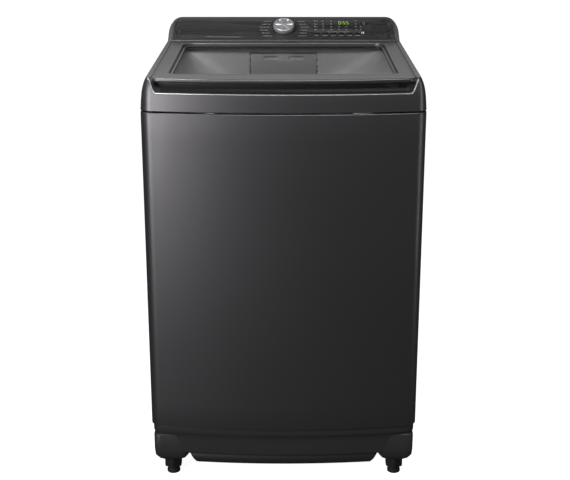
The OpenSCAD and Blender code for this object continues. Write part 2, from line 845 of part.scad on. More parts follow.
module spin_shaft() {
    color("#a7a9ac") translate([0, tub_y, 0]) difference() {
        union() {
            translate([0, 0, 150]) cylinder(r = spin_r, h = basket_z + 4 - 150);
            translate([0, 0, 112]) cylinder(r = spin_r, h = 38);
            translate([0, 0, basket_z - 10]) cylinder(r = 70, h = 8);
        }
        translate([0, 0, 100]) cylinder(r = shaft_r + 0.05, h = 400);
    }
}

module lint_filters() {
    color("#d5d7da") translate([0, tub_y, 0]) for (s = [-1, 1]) side(s)
        translate([basket_r - basket_t - 18, -45, basket_z + 330]) intersection() {
            cube([16, 90, 180]);
            translate([-60, 45, 0]) cylinder(r = 75, h = 200);
        }
}

// ---- pulsator ----

module pulsator() {
    color("#b9bbbe") translate([0, tub_y, 0]) difference() {
        union() {
            translate([0, 0, pulsator_z - 14]) cylinder(r = pulsator_r, h = 8);
            translate([0, 0, pulsator_z - 6]) cylinder(r1 = pulsator_r - 6, r2 = 60, h = 16);
            for (k = [0:5]) rotate([0, 0, 60 * k])
                translate([30, -8, pulsator_z - 10]) cube([pulsator_r - 42, 16, 34]);
            translate([0, 0, pulsator_z]) cylinder(r1 = 60, r2 = 48, h = 34);
        }
        cylinder(r = shaft_r, h = 500);
        translate([0, 0, pulsator_z + 26]) cylinder(r = 40, h = 20);
    }
}

module pulsator_cap() {
    color("#d8dadd") translate([0, tub_y, pulsator_z + 26]) {
        cylinder(r = 40, h = 6);
        translate([0, 0, 6]) cylinder(r1 = 40, r2 = 26, h = 8);
    }
}

module wash_shaft() {
    low = base_z + 3 + tub_drop + 2;
    color("#a0a2a5") translate([0, tub_y, low]) cylinder(r = shaft_r, h = pulsator_z + 26 - low);
}

// A belt pulley with a rim on each side of the belt
module pulley(r, bore, hub) {
    difference() {
        union() {
            cylinder(r = r, h = pulley_w);
            cylinder(r = r + 6, h = 3);
            translate([0, 0, pulley_w - 3]) cylinder(r = r + 6, h = 3);
        }
        translate([0, 0, -1]) cylinder(r = bore, h = pulley_w + 2);
        translate([0, 0, 5]) difference() {
            cylinder(r = r - 6, h = pulley_w);
            translate([0, 0, -1]) cylinder(r = hub, h = pulley_w + 2);
        }
    }
}

module driven_pulley() {
    color("#9c9ea1") translate([0, tub_y, pulley_z]) pulley(pulley_r, shaft_r, 24);
}

module motor_pulley() {
    color("#a5a7aa") translate([motor_x, motor_y, 0]) {
        translate([0, 0, pulley_z]) pulley(motor_pulley_r, 7, 14);
        translate([0, 0, pulley_z - 4]) cylinder(r = 7, h = 80);
    }
}

// ---- feet ----

module foot(sx, y) {
    color("#29292b") translate([sx * foot_x, y, 0]) {
        cylinder(r = foot_r, h = 8);
        translate([0, 0, 8]) cylinder(r1 = foot_r, r2 = foot_r - 3, h = 10);
        translate([0, 0, 18]) rotate([0, 0, 30]) cylinder(r = 23, h = base_z - 18 - gap, $fn = 6);
        translate([0, 0, 30]) cylinder(r = stem_r, h = 64);
    }
}

module foot_front_left() { foot(-1, front_y + foot_inset); }
module foot_front_right() { foot(1, front_y + foot_inset); }
module foot_rear_left() { foot(-1, rear_y - foot_inset); }
module foot_rear_right() { foot(1, rear_y - foot_inset); }

cabinet_wrap();
rear_panel();
base_frame();
bottom_guard();
top_cover();
mouth_liner();
console_housing();
end_caps();
control_fascia();
fascia_trim();
knob_ring();
circuit_boards();
inlet_valves();
dispenser_housing();
lid_hinge_brackets();
lid_lock();
corner_braces();
suspension_rods();
drain_outlet();
cord_inlet();
cabinet_screws();
foot_front_left();
foot_front_right();
foot_rear_left();
foot_rear_right();
tub();
tub_cover();
mounting_plate();
gearbox();
bearings();
water_seal();
motor();
drain_valve();
suspension_cups();
drive_belt();
suspension_springs();
drain_bellows();
basket();
basket_base();
balance_ring();
spin_shaft();
lint_filters();
pulsator();
pulsator_cap();
wash_shaft();
driven_pulley();
motor_pulley();
lid_frame();
lid_inner_frame();
lid_glass();
lid_hinge_pins();
knob();
detergent_drawer();
key_1();
key_2();
key_3();
key_4();
key_5();
key_6();
key_power();
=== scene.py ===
"""Top load washing machine: its outer mouldings, glass, console, drum and finishes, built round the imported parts."""

import math

import bmesh
import bpy
import numpy as np
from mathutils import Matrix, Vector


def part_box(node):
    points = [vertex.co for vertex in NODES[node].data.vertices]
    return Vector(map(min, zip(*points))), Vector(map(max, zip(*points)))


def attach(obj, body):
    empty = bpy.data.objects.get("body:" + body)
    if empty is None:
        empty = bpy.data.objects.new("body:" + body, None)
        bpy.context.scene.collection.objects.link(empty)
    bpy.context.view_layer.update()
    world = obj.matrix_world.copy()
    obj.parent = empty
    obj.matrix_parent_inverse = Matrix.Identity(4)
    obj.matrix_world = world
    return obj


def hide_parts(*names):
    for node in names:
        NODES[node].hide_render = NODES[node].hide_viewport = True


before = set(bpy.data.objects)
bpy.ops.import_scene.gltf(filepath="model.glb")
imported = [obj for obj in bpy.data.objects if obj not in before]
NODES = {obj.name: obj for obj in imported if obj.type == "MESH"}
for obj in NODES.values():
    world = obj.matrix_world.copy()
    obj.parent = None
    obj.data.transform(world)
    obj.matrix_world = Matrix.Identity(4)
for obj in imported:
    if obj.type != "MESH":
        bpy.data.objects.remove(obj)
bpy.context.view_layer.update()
MM = 0.001

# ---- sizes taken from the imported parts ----

cab_low, cab_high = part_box("cabinet_wrap")
console_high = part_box("console_housing")[1]
drawer_low, drawer_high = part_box("detergent_drawer")
basket_low, basket_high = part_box("basket")
HALF_W = cab_high[0]
FRONT_Y = cab_low[1]
REAR_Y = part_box("top_cover")[1][1]
SEAM_Z = cab_high[2]
CABINET_Z = cab_low[2]
LID_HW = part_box("lid_frame")[1][0]
RIM_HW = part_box("end_caps")[1][0]
TUB_Y = (basket_low[1] + basket_high[1]) / 2

# ---- sizes the boxes don't give ----

SLOPE = math.radians(1.15)  # the lid's rise towards the rear
BOW_R = 1.930  # the front's bow, seen from above
CORNER_R = 28 * MM
DECK_Z = SEAM_Z + 74 * MM
DECK_DROP = 10.5 * MM  # from the lid's plane down to the deck
SCOOP_DROP = 31 * MM  # from the deck's front height down to the scoop's edge
MOUTH_LIP = 3.2 * MM  # how far the cover turns down into the mouth
MOUTH_REAR = FRONT_Y + 530 * MM
MOUTH = dict(hw=268 * MM, y0=FRONT_Y + 76 * MM, y1=MOUTH_REAR, r=34 * MM)
LID_FRONT = 8 * MM  # the lid's setback from the machine's front
LID_LEN = 556 * MM
WINDOW = dict(hw=260 * MM, y0=84 * MM, y1=522 * MM, r=28 * MM)
PANEL_SLOPE = math.radians(28.9)
PANEL_LEN = 106 * MM  # along its slope
CONSOLE_Y = 567 * MM  # from the machine's front to the panel's lower edge
CONSOLE_R = 32 * MM  # the console's upper corners, seen from the front
CAP_W = 10 * MM
OUTLINE_POINTS = 720  # round the machine, the mouth and the lid
FEET = ("foot_front_left", "foot_front_right", "foot_rear_left", "foot_rear_right")
WELD_GAP = 0.01 * MM


def plane_z(y):
    """Height of the lid's plane at a place from front to back."""
    return DECK_Z + (y - FRONT_Y) * math.tan(SLOPE)


# ---- shader maths ----


class Sock:
    """A socket in a material, with arithmetic that adds Math nodes."""

    def __init__(self, mat, socket):
        self.mat = mat
        self.socket = socket

    def math(self, op, *others):
        """Applies a Math node's operation to this value and others."""
        return self.mat.add("ShaderNodeMath", {"operation": op}, {i: v for i, v in enumerate((self, *others))})

    def __add__(self, other):
        return self.math("ADD", other)

    def __sub__(self, other):
        return self.math("SUBTRACT", other)

    def __mul__(self, other):
        return self.math("MULTIPLY", other)

    def __rsub__(self, other):
        return self.mat.add("ShaderNodeMath", {"operation": "SUBTRACT"}, {0: other, 1: self})

    __radd__ = __add__
    __rmul__ = __mul__

    def output(self, i):
        """Another output of the node that this socket belongs to."""
        return Sock(self.mat, self.socket.node.outputs[i])

    def step(self, low, high):
        """Rises smoothly from 0 to 1 between low and high."""
        return self.mat.add("ShaderNodeMapRange", {"interpolation_type": "SMOOTHSTEP"}, {0: self, 1: low, 2: high})


class Finish:
    """A material built round one Principled shader."""

    def __init__(self, name, colour, rough, metal=0.0, **shader):
        self.material = bpy.data.materials.new(name)
        self.material.use_nodes = True
        self.tree = self.material.node_tree
        self.bsdf = self.tree.nodes["Principled BSDF"]
        self.set("Base Color", colour)
        self.set("Roughness", rough)
        self.set("Metallic", metal)
        for key, value in shader.items():
            self.set(key.replace("_", " "), value)
        self.material.diffuse_color = (*colour[:3], 1)

    def add(self, kind, settings, inputs, out=0):
        """Adds a node, applies its settings, then fills its sockets with values or links."""
        node = self.tree.nodes.new(kind)
        for key, value in settings.items():
            setattr(node, key, value)
        for key, value in inputs.items():
            self.fill(node.inputs[key], value)
        return Sock(self, node.outputs[out])

    def fill(self, socket, value):
        """Links a socket to another one, or gives it a plain value."""
        if isinstance(value, Sock):
            self.tree.links.new(value.socket, socket)
        elif isinstance(value, tuple) and socket.type == "RGBA":
            socket.default_value = (*value[:3], 1)
        else:
            socket.default_value = value

    def set(self, name, value):
        """Fills one of the Principled shader's inputs."""
        self.fill(self.bsdf.inputs[name], value)

    def place(self, scale=(1, 1, 1)):
        """Object coordinates in metres, stretched by a scale."""
        spot = self.add("ShaderNodeTexCoord", {}, {}, "Object")
        return self.add("ShaderNodeMapping", {}, {"Vector": spot, "Scale": scale})

    def noise(self, scale, detail=2.0, stretch=(1, 1, 1)):
        """Cloudy noise from 0 to 1, drawn out along an axis by the stretch."""
        return self.add("ShaderNodeTexNoise", {}, {"Vector": self.place(stretch), "Scale": scale, "Detail": detail})

    def mix(self, mask, dark, light):
        """A colour between dark and light as the mask goes from 0 to 1."""
        return self.add("ShaderNodeMix", {"data_type": "RGBA"}, {0: mask, 6: dark, 7: light}, 2)

    def tint(self, mask, colour, amount):
        """Varies a colour by a share of itself as the mask goes from 0 to 1."""
        dark = tuple(c * (1 - amount) for c in colour)
        light = tuple(min(c * (1 + amount), 1) for c in colour)
        self.set("Base Color", self.mix(mask, dark, light))

    def bump(self, height, strength, distance):
        """Tilts the shading as if the surface rose and fell with a value."""
        shape = {"Strength": strength, "Distance": distance, "Height": height}
        self.set("Normal", self.add("ShaderNodeBump", {}, shape))


def painted(name, colour, rough, metal):
    """Metallic paint: fine flakes vary the colour, a slight orange peel moves the surface."""
    f = Finish(name, colour, rough, metal, Coat_Roughness=0.12, Coat_Weight=0.18)
    flakes = f.noise(2600, 1.0)
    f.tint(flakes.step(0.35, 0.65), colour, 0.10)
    f.set("Roughness", rough + (f.noise(3.5, 3.0) - 0.5) * 0.05)
    f.bump(f.noise(420, 1.0) + flakes * 0.3, strength=0.06, distance=0.0002)
    return f.material


def moulded(name, colour, rough, grain=1.0, **shader):
    """Moulded plastic: a fine spark texture, with faint cloudy shine."""
    f = Finish(name, colour, rough, 0.0, **shader)
    f.tint(f.noise(9, 3.0), colour, 0.05)
    f.set("Roughness", rough + (f.noise(14, 3.0) - 0.5) * 0.08)
    f.bump(f.noise(1500, 2.0), strength=0.12 * grain, distance=0.0003)
    return f.material


def brushed(name, colour, rough, stretch=(1, 1, 40)):
    """Brushed or rolled metal: noise drawn out across the brushing."""
    f = Finish(name, colour, rough, 1.0)
    lines = f.noise(60, 3.0, stretch)
    f.tint(lines, colour, 0.09)
    f.set("Roughness", rough + (lines - 0.5) * 0.16)
    f.bump(lines, strength=0.10, distance=0.0002)
    return f.material


def galvanised(name):
    """Zinc sheet: cells of spangle with different shine."""
    colour = (0.50, 0.51, 0.52)
    f = Finish(name, colour, 0.42, 0.85)
    cells = f.add("ShaderNodeTexVoronoi", {}, {"Vector": f.place(), "Scale": 85.0}, "Color")
    shade = f.add("ShaderNodeSeparateColor", {}, {0: cells})
    f.tint(shade, colour, 0.14)
    f.set("Roughness", 0.34 + shade * 0.16)
    f.bump(shade, strength=0.05, distance=0.0002)
    return f.material


def smoked_glass():
    """Smoked toughened glass: mostly clear, with a gloss face."""
    f = Finish("smoked_glass", (0.030, 0.031, 0.033), 0.04, 0.0, Specular_IOR_Level=0.12)
    f.set("Alpha", 0.20 + f.noise(4, 2.0) * 0.03)
    f.set("Roughness", 0.03 + f.noise(12, 2.0) * 0.02)
    return f.material


def gloss(name, colour, rough):
    """Polished plastic or lacquer: even colour, faint waviness."""
    f = Finish(name, colour, rough, 0.0, Coat_Weight=0.08, Coat_Roughness=0.2)
    f.set("Roughness", rough + (f.noise(30, 3.0) - 0.5) * 0.05)
    f.bump(f.noise(16, 2.0), strength=0.02, distance=0.0005)
    return f.material


def glowing(name, colour, power):
    """A lit mark on the panel, a little uneven along its length."""
    f = Finish(name, (0.02, 0.02, 0.02), 0.3)
    f.set("Emission Color", f.mix(f.noise(300, 1.0), tuple(c * 0.85 for c in colour), colour))
    f.set("Emission Strength", power)
    return f.material


def drum_steel():
    """Rolled stainless steel for the basket's wall, finer than the brushed parts."""
    colour = (0.63, 0.64, 0.65)
    f = Finish("drum_steel", colour, 0.26, 1.0)
    lines = f.noise(40, 2.0, (1, 1, 30))
    f.tint(lines, colour, 0.06)
    f.set("Roughness", 0.24 + lines * 0.08)
    f.bump(lines, strength=0.05, distance=0.0002)
    return f.material


SHELL = (0.150, 0.145, 0.153)
shell_paint = painted("shell_paint", SHELL, rough=0.40, metal=0.9)
shell_moulding = painted("shell_moulding", SHELL, rough=0.36, metal=0.85)
# Painted highlight: the scoop's front edge is coloured light grey to stand in for the light its rounding catches.
scoop_painted_highlight = painted("scoop_painted_highlight", (0.42, 0.415, 0.425), rough=0.34, metal=0.6)
dark_moulding = moulded("dark_moulding", (0.020, 0.020, 0.021), rough=0.52)
base_moulding = moulded("base_moulding", (0.038, 0.038, 0.040), rough=0.42)
# Painted shade: the sweep in under the lid's lip is coloured near black to stand in for the shadow in that hollow.
scoop_painted_shade = moulded("scoop_painted_shade", (0.006, 0.006, 0.006), rough=0.6)
liner_moulding = moulded("liner_moulding", (0.42, 0.42, 0.425), rough=0.34)
console_moulding = painted("console_moulding", (0.100, 0.099, 0.103), rough=0.42, metal=0.35)
cap_moulding = painted("cap_moulding", (0.30, 0.296, 0.305), rough=0.34, metal=0.7)
panel_gloss = gloss("panel_gloss", (0.085, 0.085, 0.088), rough=0.40)
key_gloss = gloss("key_gloss", (0.014, 0.014, 0.015), rough=0.26)
white_moulding = moulded("white_moulding", (0.62, 0.62, 0.61), rough=0.45)
grey_moulding = moulded("grey_moulding", (0.33, 0.335, 0.34), rough=0.4)
black_rubber = moulded("black_rubber", (0.014, 0.014, 0.015), rough=0.7, grain=1.6)
zinc_sheet = galvanised("zinc_sheet")
plain_steel = brushed("plain_steel", (0.52, 0.53, 0.54), rough=0.34)
bright_steel = brushed("bright_steel", (0.72, 0.72, 0.73), rough=0.2, stretch=(1, 30, 1))
trim_bright = brushed("trim_bright", (0.60, 0.60, 0.62), rough=0.25, stretch=(20, 1, 1))
cast_alloy = moulded("cast_alloy", (0.20, 0.205, 0.21), rough=0.6, grain=3.0, Metallic=0.8)
motor_paint = painted("motor_paint", (0.05, 0.053, 0.06), rough=0.45, metal=0.3)
board_green = moulded("board_green", (0.02, 0.11, 0.05), rough=0.35)
drum_metal = drum_steel()
glass = smoked_glass()
print_white = moulded("print_white", (0.42, 0.42, 0.43), rough=0.4)
digit_green = glowing("digit_green", (0.36, 0.62, 0.06), power=1.1)
lamp_white = glowing("lamp_white", (0.9, 0.92, 0.95), power=0.9)


# ---- surfaces ----


def surface(name, points, material, close_u=False, close_v=False, cap=False):
    """A mesh from a grid of points, rows by columns. close_u joins the last column to the first, close_v the last row
    to the first; cap closes the first and last rows with a face each."""
    rows, cols = points.shape[:2]
    r = np.arange(rows if close_v else rows - 1)
    c = np.arange(cols if close_u else cols - 1)
    r, c = np.meshgrid(r, c, indexing="ij")
    rn = (r + 1) % rows
    cn = (c + 1) % cols
    quads = np.stack([r * cols + c, r * cols + cn, rn * cols + cn, rn * cols + c], -1).reshape(-1, 4)
    faces = quads.tolist()
    if cap:
        faces += [list(range(cols))[::-1], list(range((rows - 1) * cols, rows * cols))]
    mesh = bpy.data.meshes.new(name)
    mesh.from_pydata(points.reshape(-1, 3).tolist(), [], faces)
    mesh.polygons.foreach_set("use_smooth", np.ones(len(mesh.polygons), bool))
    mesh.materials.append(material)
    obj = bpy.data.objects.new(name, mesh)
    bpy.context.scene.collection.objects.link(obj)
    return obj


def joined(name, objects, body, node=None):
    """Joins several pieces into one that rides on a body, and may stand for a CAD node."""
    bpy.ops.object.select_all(action="DESELECT")
    for o in objects:
        o.select_set(True)
    bpy.context.view_layer.objects.active = objects[0]
    if len(objects) > 1:
        bpy.ops.object.join()
    objects[0].name = name
    return fitted(objects[0], body, node)


def fitted(obj, body, *nodes):
    """Rides a piece on a body; it stands for the CAD nodes named."""
    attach(obj, body)
    used = [n for n in nodes if n]
    if used:
        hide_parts(*used)
    return obj


def sharpen(obj, angle=32):
    """Splits the shading at edges sharper than an angle."""
    m = obj.modifiers.new("edges", "EDGE_SPLIT")
    m.split_angle = math.radians(angle)


def rounded_edges(obj, width):
    """Rounds a piece's sharper edges by a width."""
    m = obj.modifiers.new("bevel", "BEVEL")
    m.width = width
    m.segments = 2
    m.limit_method = "ANGLE"
    m.angle_limit = math.radians(35)
    sharpen(obj, 50)


def wall(obj, thickness, offset=-1.0):
    """Gives a surface its thickness: inwards, or outwards with an offset of 1."""
    m = obj.modifiers.new("wall", "SOLIDIFY")
    m.thickness = thickness
    m.offset = offset


def drop_faces(obj, dropped):
    """Takes out the faces marked true in an array with one entry for each face."""
    bm = bmesh.new()
    bm.from_mesh(obj.data)
    bm.faces.ensure_lookup_table()
    bmesh.ops.delete(bm, geom=[bm.faces[i] for i in np.nonzero(dropped)[0]], context="FACES")
    bm.to_mesh(obj.data)
    bm.free()


def finish_node(name, material, edge=0.0):
    """Gives a CAD node its material and smooth shading across its own curves."""
    obj = NODES[name]
    obj.data.materials.clear()
    obj.data.materials.append(material)
    obj.data.polygons.foreach_set("use_smooth", np.ones(len(obj.data.polygons), bool))
    m = obj.modifiers.new("weld", "WELD")
    m.merge_threshold = WELD_GAP
    if edge:
        rounded_edges(obj, edge)
    else:
        sharpen(obj)


def arc(cx, cy, r, a0, a1, n):
    """Points on an arc: centre plus radius times the angle's cosine and sine, angles evenly spaced."""
    a = np.radians(np.linspace(a0, a1, n))
    return np.stack([cx + r * np.cos(a), cy + r * np.sin(a)], -1)


def angles(n):
    """n angles evenly spaced round a full turn."""
    return np.linspace(0, 2 * math.pi, n, endpoint=False)


def circle(a, r, z, centre):
    """Points at angles a round an upright axis: radius and height in millimetres, the centre in metres."""
    x, y = centre
    return np.column_stack([r * MM * np.cos(a) + x, r * MM * np.sin(a) + y, np.broadcast_to(z * MM, len(a))])


def resampled(points, n):
    """n points evenly spaced by length round a closed outline."""
    p = np.vstack([points, points[:1]])
    s = np.concatenate([[0], np.cumsum(np.linalg.norm(np.diff(p, axis=0), axis=1))])
    t = np.linspace(0, s[-1], n, endpoint=False)
    return np.stack([np.interp(t, s, p[:, 0]), np.interp(t, s, p[:, 1])], -1)


def bowed(hw, y0, y1, bow, rc, rr):
    """An outline from the rear's middle, anticlockwise: straight sides, rounded corners, a front on a large arc. The
    arc's centre is found so that it meets the front corners' arcs without a kink."""
    by = y0 + bow
    cx = hw - rc
    cy = by - math.sqrt((bow - rc) ** 2 - cx * cx)
    lean = math.degrees(math.atan2(cx, by - cy))
    return np.vstack([
        [[0, y1]],
        arc(rr - hw, y1 - rr, rr, 90, 180, 12),
        arc(-cx, cy, rc, 180, 270 - lean, 24),
        arc(0, by, bow, 270 - lean, 270 + lean, 120),
        arc(cx, cy, rc, 270 + lean, 360, 24),
        arc(hw - rr, y1 - rr, rr, 0, 90, 12),
    ])


def rounded(hw, y0, y1, r, n=14):
    """A rounded rectangle from the rear's middle, anticlockwise."""
    return np.vstack([
        [[0, y1]],
        arc(r - hw, y1 - r, r, 90, 180, n),
        arc(r - hw, y0 + r, r, 180, 270, n),
        [[0, y0]],
        arc(hw - r, y0 + r, r, 270, 360, n),
        arc(hw - r, y1 - r, r, 0, 90, n),
    ])


def plan(inset):
    """The machine's outline from above, set in by a distance."""
    front_r, rear_r = max(CORNER_R - inset, 5 * MM), max(10 * MM - inset, 3 * MM)
    outline = bowed(HALF_W - inset, FRONT_Y + inset, REAR_Y - inset, BOW_R - inset, front_r, rear_r)
    return resampled(outline, OUTLINE_POINTS)


def at_height(outline, z):
    """An outline lifted to a height, one value or one for each point."""
    return np.column_stack([outline, np.broadcast_to(z, len(outline))])


def smooth(x, low, high):
    """0 below low, 1 above high, and an S curve between."""
    t = np.clip((x - low) / (high - low), 0, 1)
    return t * t * (3 - 2 * t)


# ---- camera, lights and floor ----


def look(kind, name, place, aim):
    """An object at a place, its -Z axis pointing at aim: tilted by the aim's fall, turned by its heading."""
    obj = bpy.data.objects.new(name, kind)
    bpy.context.scene.collection.objects.link(obj)
    d = np.array(aim, float) - np.array(place, float)
    obj.location = place
    obj.rotation_euler = (math.acos(-d[2] / np.linalg.norm(d)), 0.0, math.atan2(-d[0], d[1]))
    return obj


def lamp(name, place, aim, size, power):
    """A rectangular light, hidden from the camera."""
    data = bpy.data.lights.new(name, "AREA")
    data.shape = "RECTANGLE"
    data.size, data.size_y = size
    data.energy = power
    obj = look(data, name, place, aim)
    obj.visible_camera = False
    return obj


PITCH = math.radians(17.41)
view_place = np.array([0.0033, FRONT_Y - 2.506, 1.408])
lens = bpy.data.cameras.new("camera")
lens.sensor_width = 36
lens.lens = 73.07
camera = look(lens, "camera", view_place, view_place + [0, math.cos(PITCH), -math.sin(PITCH)])
bpy.context.scene.camera = camera

# Each lamp: its name, its place, what it points at, its size, and its power in watts.
for settings in (
        ("left_box", (-1.75, FRONT_Y - 2.1, 1.05), (0, FRONT_Y, 0.75), (1.3, 2.0), 37),
        ("front_top", (0.35, FRONT_Y - 1.2, 2.7), (0, FRONT_Y, 0.95), (1.6, 0.7), 27),
        ("right_strip", (1.7, FRONT_Y - 0.5, 0.9), (0.3, FRONT_Y, 0.6), (0.2, 1.8), 3),
        ("back_box", (-0.2, 3.0, 2.1), (0, 0.1, 0.98), (3.2, 0.9), 6.5),
        ("mouth_box", (-0.42, -0.32, 1.46), (-0.10, 0.15, 0.95), (0.3, 0.3), 4.5)):
    lamp(*settings)

world = bpy.data.worlds.new("studio")
bpy.context.scene.world = world
world.use_nodes = True
sky = world.node_tree.nodes["Background"].inputs
sky["Color"].default_value = (1, 1, 1, 1)
sky["Strength"].default_value = 0.05
bpy.context.scene.view_settings.view_transform = "Standard"


def studio_floor():
    """A flat floor that turns up into a pale wall, a quarter circle between them."""
    half_w, near, bend, bend_r, top = 9.0, -6.0, 3.0, 2.0, 6.0
    a = np.radians(np.linspace(5, 90, 18))
    y = np.concatenate([[near], np.linspace(-4, bend, 8), bend + bend_r * np.sin(a), [bend + bend_r]])
    z = np.concatenate([np.zeros(9), bend_r - bend_r * np.cos(a), [top]])
    x = np.linspace(-half_w, half_w, 10)
    pts = np.stack(np.broadcast_arrays(x[None, :], y[:, None], z[:, None]), -1)
    pale = Finish("pale_floor", (0.90, 0.90, 0.90), 0.6)
    pale.set("Emission Color", (1, 1, 1))
    pale.set("Emission Strength", 0.95)
    return surface("studio_floor", pts, pale.material)


# The floor is seen, but it neither lights the machine nor shows in it.
studio = studio_floor()
studio.visible_diffuse = False
studio.visible_glossy = False

# ---- cabinet ----


def cabinet_shell():
    """The sheet wrap: the plan outline carried up from the lower edge, its last few millimetres rolled inwards. It is
    left open at the back, where the rear panel closes it."""
    lip = 2.2 * MM
    turned_in = [8 * MM]
    low = CABINET_Z + 0.3 * MM
    high = SEAM_Z - 1.2 * MM
    a = np.radians(np.linspace(90, 0, 6))
    roll = lip * (1 - np.cos(a))
    rise = lip * (1 - np.sin(a))
    upright = np.linspace(low + lip, high - lip, 14)[1:-1]
    inset = np.concatenate([turned_in, roll, np.zeros(len(upright)), roll[::-1], turned_in])
    z = np.concatenate([[low], low + rise, upright, high - rise[::-1], [high]])
    cut = int(np.argmax(plan(0)[:, 1] < REAR_Y - 4 * MM))
    pts = np.stack([at_height(plan(i), height) for i, height in zip(inset, z)])[:, cut:OUTLINE_POINTS - cut + 1]
    obj = surface("cabinet_shell", pts, shell_paint)
    wall(obj, 1.0 * MM)
    return fitted(obj, "cabinet", "cabinet_wrap")


def base_skirt():
    """The plastic base: an upper band, a shadow step, then a skirt leaning in to a rolled lower lip, all round."""
    top = CABINET_Z - 0.6 * MM
    # Each ring: how far it is set in, and how far it is below the top.
    steps = np.array([
        [20, 0], [5.0, 0], [4.2, 0.3], [4, 1.2], [4, 16.0], [4.4, 17.0], [8.6, 17.8], [9.6, 18.6], [9.8, 20],
        [10.8, 36], [11.8, 52], [12.7, 68], [13.2, 71.5], [14.2, 73.4], [16.0, 73.8], [17.4, 73.0], [17.6, 66],
        [17.6, 30]]) * MM
    pts = np.stack([at_height(plan(i), top - drop) for i, drop in steps])
    return surface("base_skirt", pts[::-1], base_moulding, close_u=True)


def base_corner(sx, y):
    """A corner block of the base: a rounded square drawn in towards its foot."""
    half = 42 * MM
    height = 71.6
    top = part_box("base_frame")[0][2] + height * MM
    x = (HALF_W - 47 * MM) * sx
    y = float(np.clip(y, FRONT_Y + 58 * MM, REAR_Y - 54 * MM))
    # Each loop: how far it is drawn in, and its height from the top.
    sizes = np.array([[2, 4], [0, 0], [0, -40], [1.5, -56], [8, -66], [14, -71], [26, -height]]) * MM
    loops = []
    for inset, drop in sizes:
        square = resampled(rounded(half - inset, y - half + inset, y + half - inset, 14 * MM), 64) + [x, 0]
        loops.append(at_height(square, top + drop))
    return surface(f"corner_{'l' if sx < 0 else 'r'}", np.stack(loops[::-1]), base_moulding, close_u=True, cap=True)


def base():
    """The skirt and a corner block over each foot, as one piece."""
    feet = [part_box(n) for n in FEET]
    blocks = [base_corner(math.copysign(1, lo[0]), (lo[1] + hi[1]) / 2) for lo, hi in feet]
    return joined("base_mouldings", [base_skirt()] + blocks, "cabinet", "base_frame")


def guard():
    """The recessed pan under the front: a shallow tray whose ends turn up on a large radius. Its front follows the
    machine's bow, which fades to a straight line further back."""
    lo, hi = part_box("bottom_guard")
    u = np.linspace(-1, 1, 121)
    x = hi[0] * u
    rise = (hi[2] - lo[2]) * (1 - np.sqrt(np.clip(1 - smooth(np.abs(u), 0.86, 1.0) ** 2, 0, 1)))
    y = np.array([0, 0, 0.4, 2, 6, 40, 200, 400]) * MM + lo[1]
    z = np.array([33, 12, 6, 2, 0, 0, 0, 0]) * MM
    bow = BOW_R - np.sqrt(BOW_R ** 2 - x ** 2)
    front = y[:, None] + bow[None, :] * (1 - smooth(y[:, None], lo[1], lo[1] + 300 * MM))
    pts = np.stack(np.broadcast_arrays(x[None, :], front, lo[2] + np.maximum(z[:, None], rise[None, :])), -1)
    obj = surface("lower_guard", pts, dark_moulding)
    wall(obj, 2 * MM)
    return fitted(obj, "cabinet", "bottom_guard")


# ---- top cover ----


def flare(z):
    """Inset of the cover's side at a height: mostly near its top edge, as the fourth power of the height's share."""
    t = np.clip((z - SEAM_Z) / (DECK_Z - SEAM_Z), 0, 1)
    return 14 * MM * (0.35 * t + 0.65 * t ** 4)


def across_front(x, y):
    """1 across the machine's front, fading to 0 round its corners."""
    return (1 - smooth(y, FRONT_Y + 24 * MM, FRONT_Y + 48 * MM)) * (1 - smooth(np.abs(x), 286 * MM, 312 * MM))


def cover_ring(inset, z):
    """A ring whose inset differs from point to point, moved along the lines between two fixed outlines."""
    reach = 20 * MM
    near, far = plan(0), plan(reach)
    return np.column_stack([near + (far - near) * (inset / reach)[:, None], np.broadcast_to(z, len(near))])


